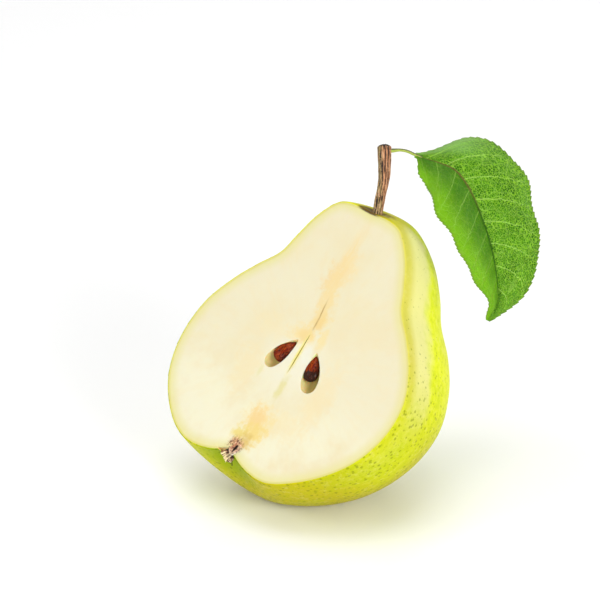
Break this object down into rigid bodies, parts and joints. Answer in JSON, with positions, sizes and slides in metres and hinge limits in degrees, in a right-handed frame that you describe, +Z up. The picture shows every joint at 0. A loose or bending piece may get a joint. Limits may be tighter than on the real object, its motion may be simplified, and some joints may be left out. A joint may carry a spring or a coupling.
{
  "type": "half pear",
  "caption": "Half of a large squat pear, cut lengthwise, with its stem, a toothed leaf on its stalk, seeds in their hollows and the dried calyx, resting tilted on a small flat spot.",
  "frame": {"origin": "centre of the small flat spot that the half pear rests on", "axes": "+Z is up, square to the flat spot; the knife face looks towards -Y, a little to -X and up; the stem and the leaf are on the +X side"},
  "size_m": [0.113, 0.0803, 0.1051],
  "materials": {
    "pear": "moist cream flesh on the cut face, waxy yellow-green skin with fine dots on the round side",
    "seed": "glossy red-brown seed coat",
    "calyx": "dry, curled and matte",
    "bark": "dry ridged bark",
    "petiole": "smooth green stalk",
    "leaf": "satin leaf with a raised net of pale veins"
  },
  "bodies": {
    "root": {"pear_half": "pear", "seed_left": "seed", "seed_right": "seed", "calyx": "calyx", "stem": "bark", "petiole": "petiole", "leaf": "leaf"}
  },
  "joints": []
}
